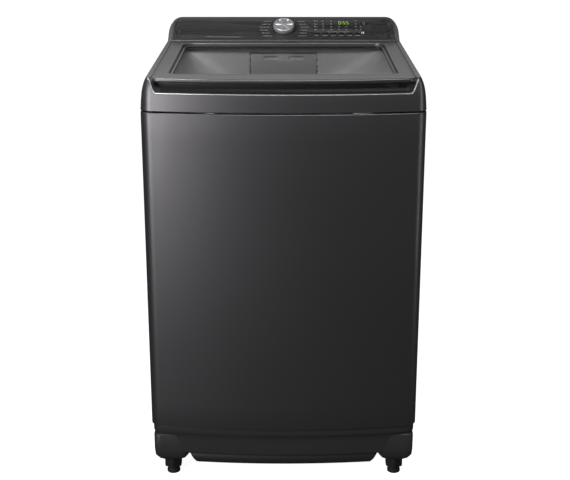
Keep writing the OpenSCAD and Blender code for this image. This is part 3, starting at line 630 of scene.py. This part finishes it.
def cover_skin():
    """Rings from the seam upwards. At each place on the outline two profiles are blended: at the sides the wall runs up
    over a narrow rail and down to the deck; across the front it stops lower, and a quarter ellipse sweeps in under the
    lid. Then the deck runs in to the mouth."""
    x, y = plan(0).T
    w = across_front(x, y)
    seam_r, edge_r, rail, sweep = 2.0 * MM, 1.5 * MM, 12 * MM, 18 * MM
    low = SEAM_Z + 1.4 * MM
    side_top = plane_z(y)
    front_top = DECK_Z - SCOOP_DROP
    top = side_top * (1 - w) + front_top * w
    rings = [at_height(plan(12 * MM), SEAM_Z + 0.4 * MM)]
    for a in np.radians(np.linspace(0, 90, 5)):
        rings.append(cover_ring(np.full(len(w), seam_r * (1 - math.sin(a))), low + seam_r * (1 - math.cos(a))))
    for t in np.linspace(0.05, 1, 22):
        z = low + seam_r + t * (top - edge_r - low - seam_r)
        rings.append(cover_ring(flare(z), z))
    end = flare(top)
    edge_start = len(rings) - 1
    for a in np.radians(np.linspace(15, 90, 5)):
        rings.append(cover_ring(end + (edge_r + 2.5 * MM * w) * (1 - math.cos(a)), top - edge_r * (1 - math.sin(a))))
    sweep_start = len(rings) - 2
    deck = side_top - DECK_DROP
    for t in np.linspace(0.08, 1, 18):
        a = t * math.pi / 2
        side_in = end + edge_r + (rail - edge_r) * min(t * 1.6, 1)
        side_z = np.where(t < 0.62, side_top, side_top - DECK_DROP * (t - 0.62) / 0.38)
        front_in = end + edge_r + sweep * math.sin(a)
        front_z = front_top + (deck - front_top) * (1 - math.cos(a))
        rings.append(cover_ring(side_in * (1 - w) + front_in * w, side_z * (1 - w) + front_z * w))
    sweep_end = len(rings) - 2
    mouth = resampled(rounded(**MOUTH), OUTLINE_POINTS)
    edge = rings[-1][:, :2]
    for t in (0.25, 0.5, 0.75, 0.985, 1.0):
        p = edge * (1 - t) + mouth * t
        rings.append(at_height(p, plane_z(p[:, 1]) - DECK_DROP - (1.0 * MM if t == 1 else 0)))
    rings.append(at_height(mouth, plane_z(mouth[:, 1]) - DECK_DROP - MOUTH_LIP))
    obj = surface("cover_skin", np.stack(rings), shell_moulding, close_u=True)
    obj.data.materials.append(scoop_painted_highlight)
    obj.data.materials.append(scoop_painted_shade)
    row, col = np.divmod(np.arange(len(obj.data.polygons)), OUTLINE_POINTS)
    in_scoop = w[col] > 0.35
    # The rows of the front edge's rounding take the light grey of the painted highlight.
    painted_highlight_rows = (row >= edge_start) & (row < sweep_start) & in_scoop
    # The rows of the sweep under the lid take the near black of the painted shade.
    dark = (row >= sweep_start) & (row < sweep_end) & in_scoop
    obj.data.polygons.foreach_set("material_index", (painted_highlight_rows * 1 + dark * 2).astype(np.int32))
    return fitted(obj, "cabinet", "top_cover")


def mouth_wall():
    """The wall under the deck: the mouth's rounded rectangle drawn in to a rounder opening over the basket."""
    foot_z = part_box("mouth_liner")[0][2]
    top = resampled(rounded(**MOUTH), 360)
    low = resampled(rounded(227 * MM, TUB_Y - 217 * MM, MOUTH_REAR, 174 * MM), 360)
    rings = []
    for t in np.linspace(0, 1, 16):
        share = t ** 1.25
        p = top * (1 - share) + low * share
        rings.append(at_height(p, (plane_z(p[:, 1]) - DECK_DROP - MOUTH_LIP) * (1 - t) + foot_z * t))
    return np.stack(rings)


def liner():
    """The mouth's wall with the drawer's opening left out of its rear."""
    pts = mouth_wall()
    pts = pts[:, np.roll(np.arange(pts.shape[1]), pts.shape[1] // 2)]
    obj = surface("mouth_wall", pts, liner_moulding, close_u=True)
    centre = np.zeros(len(obj.data.polygons) * 3)
    obj.data.polygons.foreach_get("center", centre)
    x, y, z = centre.reshape(-1, 3).T
    at_rear = (np.abs(x) < drawer_high[0] + 1.2 * MM) & (y > MOUTH_REAR - 2 * MM)
    drop_faces(obj, at_rear & (z < drawer_high[2] + 2 * MM) & (z > drawer_low[2] - 3 * MM))
    wall(obj, 2.4 * MM)
    return fitted(obj, "cabinet", "mouth_liner")


# ---- lid ----


def on_deck(x, s, h):
    """Points given across, back along the lid, and up from its top face."""
    c, k = math.cos(SLOPE), math.sin(SLOPE)
    return np.stack(np.broadcast_arrays(x, FRONT_Y + s * c - h * k, DECK_Z + s * k + h * c), -1)


def lid_outline(inset):
    """The lid's outline on its own plane, bowed at the front, set in by a distance."""
    return resampled(bowed(LID_HW - inset, LID_FRONT + inset, LID_FRONT + LID_LEN - inset, BOW_R,
                           20 * MM - inset * 0.5, 4 * MM), OUTLINE_POINTS)


def window_outline(grow, r, n):
    """The window's rounded rectangle on the lid's plane, moved outwards by a distance."""
    return resampled(rounded(WINDOW["hw"] + grow, WINDOW["y0"] - grow, WINDOW["y1"] + grow, r), n)


def lid_moulding():
    """Rings from the hidden underside edge, out round the lip, over the top and down the window's edge; the outer
    outline is bowed at the front, the inner one is the window's rounded rectangle."""

    def outer(inset):
        """The lid's outline, set in by millimetres."""
        return lid_outline(inset * MM)

    def inner(grow):
        """The window's outline, moved outwards by millimetres."""
        return window_outline(grow * MM, WINDOW["r"] + grow * MM, OUTLINE_POINTS)

    # Each ring: its outline, and its height above the lid's plane in millimetres.
    steps = [(inner(6), -9.0), (outer(9), -9.0), (outer(2.2), -8.8), (outer(0.7), -8.2), (outer(0), -6.8),
             (outer(0), -3.0), (outer(0.5), -1.2), (outer(1.4), -0.35), (outer(3.0), 0)]
    far, near = outer(3.0), inner(1.6)
    steps += [(far * (1 - t) + near * t, 0) for t in (0.3, 0.6, 0.9)]
    steps += [(near, 0), (inner(0.8), -0.25), (inner(0.2), -0.9), (inner(0), -2.0), (inner(0), -6.9)]
    pts = np.stack([on_deck(*p.T, h * MM) for p, h in steps])
    obj = surface("lid_moulding", pts, shell_moulding, close_u=True)
    sharpen(obj, 60)
    return fitted(obj, "lid", "lid_frame")


def window_glass():
    """A flat sheet with rounded corners and ground edges, a dark printed border round it."""
    overlap = 3.4

    def ring(shrink, h):
        """The sheet's outline, set in and lowered by millimetres."""
        return on_deck(*window_outline((overlap - shrink) * MM, (31 - shrink) * MM, 240).T, h * MM)

    pts = np.stack([ring(0.5, -10.9), ring(0, -10.4), ring(0, -7.5), ring(0.5, -7.05)])
    sheet = surface("window_glass", pts, glass, close_u=True, cap=True)
    sharpen(sheet)
    fitted(sheet, "lid", "lid_glass")
    border = surface("glass_border", np.stack([ring(3.0, -6.98), ring(10.5, -6.98)]), panel_gloss, close_u=True)
    wall(border, 0.06 * MM, 1.0)
    return fitted(border, "lid")


# ---- console ----


def on_panel(x, u, h):
    """Points given across, up the control panel's slope, and out from it."""
    c, k = math.cos(PANEL_SLOPE), math.sin(PANEL_SLOPE)
    y = FRONT_Y + CONSOLE_Y
    return np.stack(np.broadcast_arrays(x, y + u * c - h * k, plane_z(y) + u * k + h * c), -1)


def with_flank(pts, side):
    """Adds three columns past one end of a grid: just over its edge, a little lower, and down on the lid's plane."""
    for drop in (0.9 * MM, 6 * MM, math.inf):
        edge = pts[:, -1 if side > 0 else 0].copy()
        edge[:, 2] = np.maximum(edge[:, 2] - drop, plane_z(edge[:, 1]) - 0.2 * MM)
        pts = np.concatenate([pts, edge[:, None]] if side > 0 else [edge[:, None], pts], 1)
    return pts


def console_skin(name, x, material, side=None):
    """A height field over x: up the panel's slope, over a small top edge, back and down the rear. The height is limited
    at each x by the top corner's circle, so the slope ends earlier towards the ends."""
    base_z = plane_z(FRONT_Y + CONSOLE_Y)
    top = console_high[2] - 0.2 * MM
    rear = console_high[1] - 1.0 * MM
    over = np.clip(np.abs(x) - (RIM_HW - CONSOLE_R), 0, CONSOLE_R)
    limit = top - CONSOLE_R + np.sqrt(np.maximum(CONSOLE_R ** 2 - over ** 2, 0))
    slope_end = (limit - base_z) / math.sin(PANEL_SLOPE)
    crest = on_panel(x, slope_end, 0)

    def past_crest(y, drop):
        """The crest's row moved to another place from front to back, and lowered by millimetres."""
        row = crest.copy()
        row[:, 1] = y
        row[:, 2] -= drop * MM
        return row

    foot = on_panel(x, 0, -0.4 * MM)
    foot[:, 2] = base_z - 9.5 * MM
    rows = [foot, on_panel(x, 0, -0.9 * MM)]
    rows += [on_panel(x, slope_end * f, 0) for f in (0.012, 0.03, 0.25, 0.5, 0.75, 0.93, 0.965, 0.985)]
    rows += [past_crest(crest[:, 1] + back * MM, drop) for back, drop in ((1.5, 0.25), (4, 0))]
    rows += [past_crest(rear - before * MM, drop) for before, drop in ((6, 0), (2, 0.8), (0.4, 2.6), (0, 5))]
    last = past_crest(rear, 0)
    last[:, 2] = plane_z(rear) - 0.2 * MM
    pts = np.stack(rows + [last])
    obj = surface(name, pts if side is None else with_flank(pts, side), material)
    sharpen(obj, 38)
    return obj


def console():
    """The panel's skin between two end caps, a hair's gap before each."""
    hw = RIM_HW - CAP_W
    main = console_skin("console_skin", np.linspace(-hw, hw, 121), console_moulding)
    fitted(main, "cabinet", "console_housing")
    right = np.concatenate([np.linspace(hw + 0.3 * MM, RIM_HW - 1.2 * MM, 8), [RIM_HW - 0.4 * MM, RIM_HW]])
    caps = [console_skin("cap_r", right, cap_moulding, 1), console_skin("cap_l", -right[::-1], cap_moulding, -1)]
    return joined("console_caps", caps, "cabinet", "end_caps")


# ---- print on the panel: places across and up the slope, in millimetres ----


INK = 0.12
OPTION_ROWS = (87, 74, 61, 48)
SEGMENTS = {"0": "abcdef", "5": "afgcd"}


def strip(x0, x1, u0, u1, r=0.4):
    """A thin printed patch on the panel: a rounded rectangle raised by the ink's height."""
    w, d = (x1 - x0) / 2, (u1 - u0) / 2
    p = resampled(rounded(w, -d, d, min(r, w * 0.95, d * 0.95), 3), 16)
    x = (p[:, 0] + (x0 + x1) / 2) * MM
    u = (p[:, 1] + (u0 + u1) / 2) * MM
    return np.stack([on_panel(x, u, h * MM) for h in (0, INK)])


def patches(name, strips, material):
    """Many printed patches as one piece: each is a small capped ring pair."""
    verts, faces, start = [], [], 0
    for pts in strips:
        n = pts.shape[1]
        verts.append(pts.reshape(-1, 3))
        faces += [[start + i, start + (i + 1) % n, start + n + (i + 1) % n, start + n + i] for i in range(n)]
        faces += [[start + i for i in range(n)][::-1], [start + n + i for i in range(n)]]
        start += 2 * n
    mesh = bpy.data.meshes.new(name)
    mesh.from_pydata(np.vstack(verts).tolist(), [], faces)
    mesh.materials.append(material)
    obj = bpy.data.objects.new(name, mesh)
    bpy.context.scene.collection.objects.link(obj)
    return fitted(obj, "cabinet")


def words(x, u, length, height=1.6, seed=0, left=True):
    """A line of print as blank dashes of different lengths, with a gap between words."""
    rng = np.random.default_rng(seed)
    out, at = [], x if left else x - length
    end = at + length
    while at < end - 1.5:
        w = min(float(rng.uniform(2.2, 6.0)), end - at)
        out.append(strip(at, at + w, u - height / 2, u + height / 2))
        at += w + 1.2
    return out


def digit(char, x, u, w, h, t):
    """Seven upright and level bars laid out as a figure, each with a gap at its ends."""
    gap = 0.45
    middle, right = u + h / 2, x + w - t
    upper, lower = (middle + gap, u + h - t * 0.6), (u + t * 0.6, middle - gap)
    bars = {
        "a": (x + t, right, u + h - t, u + h), "g": (x + t, right, middle - t / 2, middle + t / 2),
        "d": (x + t, right, u, u + t), "f": (x, x + t, *upper), "e": (x, x + t, *lower),
        "b": (right, x + w, *upper), "c": (right, x + w, *lower),
    }
    return [strip(*bars[s], r=0.7) for s in SEGMENTS[char]]


def lamp_mark(x, u):
    """A small printed mark for one option's lamp."""
    return strip(x - 1.6, x + 1.6, u - 1.2, u + 1.2)


def program_names():
    """Six dashed lines each side of the knob, their near ends following its curve."""
    lines = []
    for i, u in enumerate(np.linspace(86, 20, 6)):
        bend = 3.5 * abs(i - 2.5)
        lines += words(-40 + bend * 0.9, u, 26 - bend * 0.5, 1.5, i, left=False)
        lines += words(46 - bend * 0.9, u, 18 + (i % 3) * 2, 1.5, 20 + i)
    return lines


def option_names():
    """The option columns either side of the display, the row over the keys, the display's rule and the footnote."""
    lines = []
    for i, u in enumerate(OPTION_ROWS):
        lines += words(81, u, 11 - (i % 2) * 2, seed=40 + i)
        lines += words(190, u, 7, seed=50 + i)
        lines += words(204, u, 6, seed=60 + i) if i > 1 else []
    for i in range(6):
        lines += words(82 + i * 21.8, 22.5, 12, seed=70 + i)
    return lines + [strip(113, 178, 38.2, 38.9)] + words(-205, 16, 92, 1.2, 91)


def power_mark():
    """A ring on the power key: a small square section carried round a circle."""
    a = angles(40)
    section = ((3.6, 0.2), (3.6, 0.34), (2.7, 0.34), (2.7, 0.2))
    ring = [on_panel((215 + r * np.cos(a)) * MM, (75 + r * np.sin(a)) * MM, h * MM) for r, h in section]
    mark = surface("power_mark", np.stack(ring), print_white, close_u=True, close_v=True)
    return fitted(mark, "power_button")


def panel_print():
    """Everything printed or lit on the panel."""
    lamps = [lamp_mark(x, u) for x in (105, 127) for u in OPTION_ROWS]
    lamps += [lamp_mark(x, u) for x in (148, 167) for u in OPTION_ROWS[2:]]
    figures = [bar for char, x in (("0", 146.5), ("5", 158.5), ("5", 167.5))
               for bar in digit(char, x, 71.5, w=6.4, h=14.0, t=1.5)]
    colon = [strip(155.2, 156.6, 75.0, 76.6), strip(155.2, 156.6, 80.4, 82.0)]
    start = [strip(207.0, 209.0, 30, 39), strip(211.2, 213.2, 30, 39), strip(199.5, 202.5, 33, 36)]
    patches("panel_print", program_names() + option_names(), print_white)
    patches("panel_lamps", lamps, print_white)
    patches("display_digits", figures + colon, digit_green)
    patches("start_mark", start, lamp_white)
    power_mark()


# ---- knob ----


def knob():
    """A turned body: its profile carried round the axis. Six shallow petals are pressed into the face, their depth a
    smooth power of the angle's cosine that fades at the rim and the middle."""
    seat, face_r, face_h = 2, 24.2, 12.1
    a = angles(288)
    profile = [(26.8, 0.5), (27.6, 0.7), (28.0, 1.4), (28.0, 9.6), (27.8, 11.2), (27.2, 12.2), (26.4, 12.7),
               (25.6, 12.8), (25.0, 12.5), (24.5, 12.1)]
    groove = np.abs(np.cos(3 * a)) ** 10
    rings = [(r, seat + h) for r, h in profile]
    for r in np.linspace(face_r, 0.02, 26):
        fade = smooth(r, 1, 5) * (1 - smooth(r, 22.5, face_r))
        rings.append((r, seat + face_h - 0.6 * (1 - (r / face_r) ** 2) - 2.4 * groove * fade))
    pts = np.stack([on_panel(r * MM * np.cos(a), PANEL_LEN / 2 + r * MM * np.sin(a), h * MM) for r, h in rings])
    obj = surface("knob_turned", pts, knob_metal(), close_u=True, cap=True)
    return fitted(obj, "selector", "knob")


def knob_metal():
    """Spun metal: fine rings about the knob's axis."""
    colour = (0.62, 0.62, 0.64)
    f = Finish("knob_metal", colour, 0.42, 0.75)
    middle = on_panel(0.0, PANEL_LEN / 2, 0.0)
    shifted = f.add("ShaderNodeMapping", {"vector_type": "TEXTURE"},
                    {"Vector": f.add("ShaderNodeTexCoord", {}, {}, "Object"), "Location": tuple(map(float, middle)),
                     "Rotation": (PANEL_SLOPE, 0.0, 0.0)})
    x = f.add("ShaderNodeSeparateXYZ", {}, {0: shifted})
    y = x.output(1)
    radius = (x * x + y * y).math("SQRT")
    rings = (radius * 9000).math("SINE") * 0.5 + 0.5
    f.tint(rings, colour, 0.08)
    f.set("Roughness", 0.38 + rings * 0.1)
    f.bump(rings, strength=0.05, distance=0.0001)
    return f.material


def knob_seat():
    """The dark ring round the knob: a small rounded bead."""
    a = angles(144)
    bead = [(30.5, 0.0), (30.5, 1.2), (30.0, 1.8), (29.2, 2.0), (28.4, 1.7), (26.0, 1.5), (25.6, 0.0)]
    pts = np.stack([on_panel(r * MM * np.cos(a), PANEL_LEN / 2 + r * MM * np.sin(a), h * MM) for r, h in bead])
    return fitted(surface("knob_seat", pts[::-1], dark_moulding, close_u=True, close_v=True), "cabinet", "knob_ring")


# ---- feet ----


def foot(node):
    """A turned pad under a hexagon for a spanner, on a threaded stem; each a profile carried round the foot's axis. The
    hexagon's radius is its half width over the cosine of the angle from the nearest flat's middle."""
    lo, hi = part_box(node)
    centre = (lo[0] + hi[0]) / 2, (lo[1] + hi[1]) / 2
    a = angles(96)
    hexagon = np.minimum(20 / np.cos((a + math.pi / 6) % (math.pi / 3) - math.pi / 6), 22.3)
    stem_z = 44.5
    # Each ring: its radius, its height, and how much of it is hexagon.
    profile = [(13.0, 0, 0), (15.2, 0, 0), (15.9, 0.8, 0), (15.9, 6.5, 0), (15.0, 8.6, 0), (13.4, 16.2, 0),
               (13.6, 17.6, 0), (18.0, 17.9, 0.4), (19.6, 18.4, 0.85), (20.0, 19.6, 1), (20.0, 42.6, 1),
               (19.6, 43.8, 0.85), (18.0, 44.4, 0.4), (6.2, stem_z, 0)]
    profile += [(5.85 - 0.7 * (k % 2), stem_z + 0.75 * k, 0) for k in range(60)]
    pts = np.stack([circle(a, r * (1 - m) + hexagon * m, h, centre) for r, h, m in profile])
    obj = surface(node + "_turned", pts, black_rubber, close_u=True, cap=True)
    sharpen(obj, 40)
    return fitted(obj, node, node)


# ---- drum ----


def turned(name, profile, material, n=180, close=False, centre=(0.0, TUB_Y)):
    """A profile of radius and height, in millimetres, carried round an upright axis."""
    pts = np.stack([circle(angles(n), r, h, centre) for r, h in profile])
    return surface(name, pts, material, close_u=True, close_v=close)


def basket():
    """The steel wall as a cylinder whose radius has shallow upright flutes, the cube of a cosine of the angle. Square
    holes are left out of its grid in staggered rows, and the wall gets its thickness inwards."""
    r, lo, hi = basket_high[0] / MM, basket_low[2] / MM, basket_high[2] / MM
    cols, rows = 336, 88
    a = angles(cols)
    flute = 4.0 * (0.5 + 0.5 * np.cos(12 * a)) ** 3
    heights = np.linspace(lo, hi, rows)
    body = smooth(heights, lo + 20, lo + 60) * (1 - smooth(heights, hi - 60, hi - 20))
    pts = np.stack([circle(a, r - flute * depth, z, (0.0, TUB_Y)) for z, depth in zip(heights, body)])
    obj = surface("basket_wall", pts, drum_metal, close_u=True)
    row, col = np.divmod(np.arange(len(obj.data.polygons)), cols)
    staggered = (row % 4 == 2) & ((col + 3 * (row // 4 % 2)) % 6 == 0)
    drop_faces(obj, staggered & (row > 6) & (row < rows - 10))
    wall(obj, 0.8 * MM)
    return fitted(obj, "basket_group", "basket")


def balance():
    """The hollow balance ring: a rounded crown, its inner lip turned down into the basket."""
    ring_low, ring_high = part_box("balance_ring")
    r, top, low = ring_high[0] / MM, ring_high[2] / MM, ring_low[2] / MM
    inner = 215
    profile = [(r - 1.2, low), (r - 1.2, top - 30), (r - 0.2, top - 29), (r - 0.2, top - 8), (r - 1.6, top - 3),
               (r - 6, top - 0.3), (r - 14, top), (inner + 10, top - 1), (inner + 4, top - 3), (inner + 1, top - 8),
               (inner + 0.2, top - 16), (inner + 1, top - 25), (inner + 5, top - 29), (r - 14, top - 30),
               (r - 9, top - 32), (r - 8.5, low)]
    crown = turned("balance_crown", profile, white_moulding, close=True)
    return fitted(crown, "basket_group", "balance_ring")


def pulsator():
    """A shallow dish with six curved vanes: height is a dish, plus a ridge that follows a spiral (a power of the cosine
    of the angle and the radius's share), plus a band of small ribs."""
    lo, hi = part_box("pulsator")
    r_max, base_z = hi[0] / MM - 0.5, lo[2] / MM
    a = angles(360)
    rings = [(20, base_z + 0.5), (r_max - 2, base_z + 0.5), (r_max, base_z + 3)]
    for r in np.linspace(r_max, 34, 70):
        dish = 9 + 16 * (1 - r / r_max) ** 1.6
        vanes = np.clip(np.cos(6 * (a + 0.9 * (r / r_max))), 0, 1) ** 5
        vane_h = 22 * smooth(r, 30, 70) * (1 - smooth(r, r_max - 34, r_max - 6))
        ribs = 3.0 * np.clip(np.cos(36 * a), 0, 1) ** 3 * smooth(r, 110, 130) * (1 - smooth(r, 150, 165))
        rings.append((r, base_z + dish + vanes * vane_h + ribs))
    pts = np.stack([circle(a, r, z, (0.0, TUB_Y)) for r, z in rings])
    return fitted(surface("pulsator_dish", pts, grey_moulding, close_u=True), "agitator", "pulsator")


def coil(cx, cy, r, wire, z0, z1, turns):
    """A round wire carried along a helix, its pitch closing up at both ends."""
    t = np.linspace(0, 1, turns * 26)
    a = (t * turns * 2 * math.pi)[:, None]
    rise = z0 + wire + (z1 - z0 - 2 * wire) * (0.06 * smooth(t, 0, 0.1) + 0.88 * t + 0.06 * smooth(t, 0.9, 1.0))
    b = angles(14)[None, :]
    ring = r - wire + wire * np.cos(b)
    return np.stack([cx + ring * np.cos(a), cy + ring * np.sin(a), rise[:, None] + wire * np.sin(b)], -1) * MM


def springs():
    """Four coils, one at each corner of the springs' box."""
    lo, hi = (corner / MM for corner in map(np.array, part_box("suspension_springs")))
    r, wire, turns = 19.0, 1.7, 7
    objs = []
    for sx in (-1, 1):
        for sy in (-1, 1):
            cy = (lo[1] + hi[1]) / 2 + sy * ((hi[1] - lo[1]) / 2 - r)
            pts = coil(sx * (hi[0] - r), cy, r, wire, lo[2], hi[2], turns)
            objs.append(surface(f"coil_{sx}_{sy}", pts[:, ::-1], plain_steel, close_u=True, cap=True))
    return joined("spring_coils", objs, "cabinet", "suspension_springs")


def bellows():
    """A corrugated rubber sleeve: its radius follows a cosine of the height."""
    lo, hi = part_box("drain_bellows")
    centre = (lo[0] + hi[0]) / 2, (lo[1] + hi[1]) / 2
    t = np.linspace(0, 1, 90)
    z = lo[2] / MM + t * (hi[2] - lo[2]) / MM
    outside = list(zip(17.2 + 1.6 * np.cos(14 * math.pi * t), z))
    inside = [(13.2, height) for height in z[::-1]]
    sleeve = turned("bellows_sleeve", outside + inside, black_rubber, 72, True, centre)
    return fitted(sleeve, "cabinet", "drain_bellows")


# ---- make everything ----

cabinet_shell()
base()
guard()
cover_skin()
liner()
lid_moulding()
window_glass()
console()
panel_print()
knob()
knob_seat()
for corner in FEET:
    foot(corner)
basket()
balance()
pulsator()
springs()
bellows()

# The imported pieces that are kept: each one's name, its finish, and the width of its rounded edges in metres.
for node, material, edge in (
        ("rear_panel", zinc_sheet, 0), ("mounting_plate", zinc_sheet, 0), ("corner_braces", zinc_sheet, 0),
        ("lid_hinge_brackets", plain_steel, 0), ("lid_hinge_pins", bright_steel, 0),
        ("lid_lock", dark_moulding, 0.0008), ("lid_inner_frame", dark_moulding, 0.0006),
        ("control_fascia", panel_gloss, 0), ("fascia_trim", trim_bright, 0), ("circuit_boards", board_green, 0),
        ("inlet_valves", white_moulding, 0.0006), ("dispenser_housing", grey_moulding, 0),
        ("detergent_drawer", grey_moulding, 0.0012), ("cord_inlet", black_rubber, 0.0006),
        ("drain_outlet", grey_moulding, 0), ("cabinet_screws", bright_steel, 0), ("suspension_rods", bright_steel, 0),
        ("suspension_cups", white_moulding, 0.0005), ("tub", white_moulding, 0), ("tub_cover", white_moulding, 0.001),
        ("gearbox", cast_alloy, 0.001), ("bearings", bright_steel, 0), ("water_seal", black_rubber, 0),
        ("motor", motor_paint, 0.001), ("drain_valve", grey_moulding, 0.0008), ("drive_belt", black_rubber, 0),
        ("basket_base", white_moulding, 0.001), ("spin_shaft", plain_steel, 0), ("lint_filters", white_moulding, 0.002),
        ("pulsator_cap", bright_steel, 0.001), ("wash_shaft", bright_steel, 0), ("driven_pulley", cast_alloy, 0.0006),
        ("motor_pulley", plain_steel, 0), ("key_power", key_gloss, 0.0003),
        *((f"key_{i}", key_gloss, 0.0003) for i in range(1, 7))):
    finish_node(node, material, edge)
